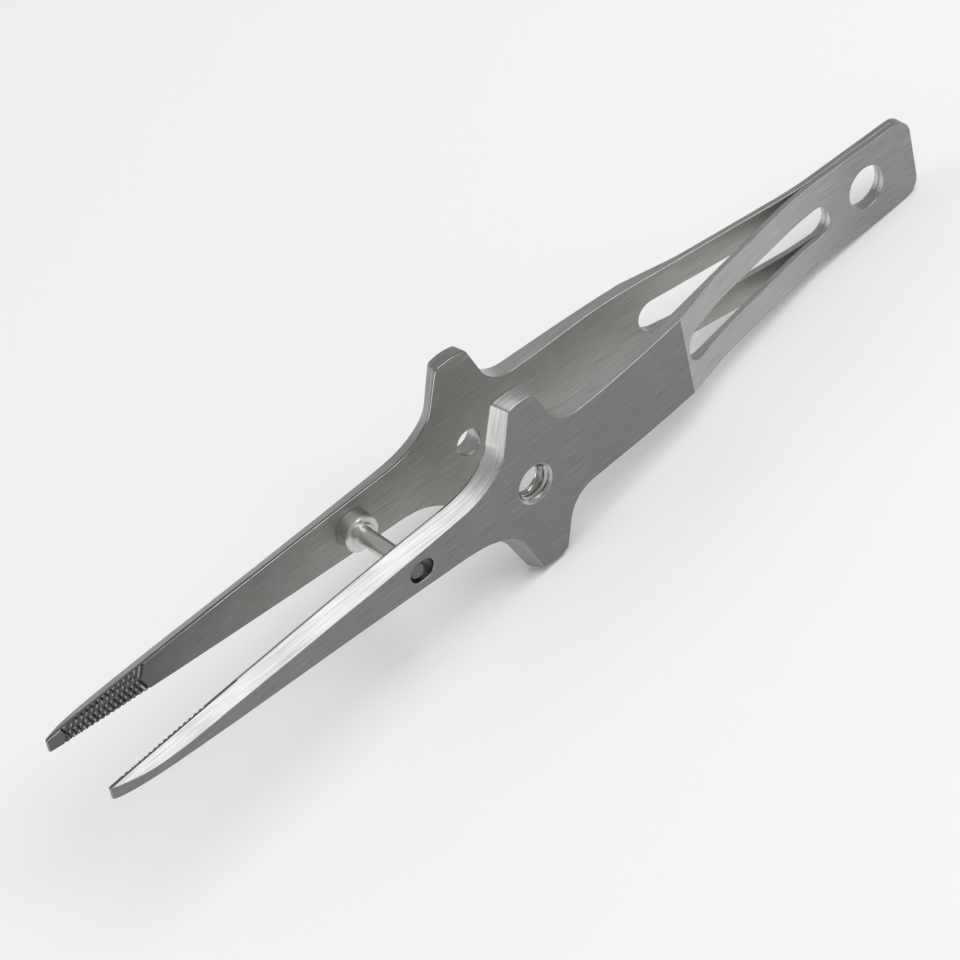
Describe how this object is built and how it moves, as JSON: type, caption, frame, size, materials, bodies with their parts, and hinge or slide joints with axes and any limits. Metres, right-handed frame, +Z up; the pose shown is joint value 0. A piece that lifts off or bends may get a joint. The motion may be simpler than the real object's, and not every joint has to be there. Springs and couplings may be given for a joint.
{
  "type": "precision tweezers",
  "caption": "Stout steel tweezers with finger wings, slotted spring leaves, a guide pin between the arms, a tapped hole, a hang hole and cross-cut serrated tips.",
  "frame": {"origin": "middle of the footprint of the open tweezers, on the surface that they stand on with their lower wings and the lower corner of their tail", "axes": "+X runs from the tips to the tail, +Y across the opening towards the arm that carries the guide pin, +Z up"},
  "size_m": [0.1646, 0.0188, 0.0325],
  "materials": {
    "arm_steel": "satin, brushed along the arms",
    "pin_steel": "fine turned"
  },
  "bodies": {
    "tail": {"near_arm_tail": "arm_steel", "near_arm_spring": "arm_steel", "far_arm_tail": "arm_steel", "far_arm_spring": "arm_steel"},
    "near_jaw": {"near_arm_jaw": "arm_steel"},
    "far_jaw": {"far_arm_jaw": "arm_steel", "guide_pin": "pin_steel"}
  },
  "joints": [
    {"name": "near_arm_flex", "type": "hinge", "parent": "tail", "child": "near_jaw", "pos_m": [0.04405, -0.00277, 0.011], "axis": [-0.1095, 0, -0.994], "range_deg": [0, 3.15], "stiffness_Nm_per_rad": 6, "deforming": ["near_arm_spring"]},
    {"name": "far_arm_flex", "type": "hinge", "parent": "tail", "child": "far_jaw", "pos_m": [0.04405, 0.00277, 0.011], "axis": [0.1095, 0, 0.994], "range_deg": [0, 3.15], "stiffness_Nm_per_rad": 6, "deforming": ["far_arm_spring"]}
  ],
  "couplings": [
    {"joint": "near_arm_flex", "follows": "far_arm_flex", "ratio": 1}
  ]
}
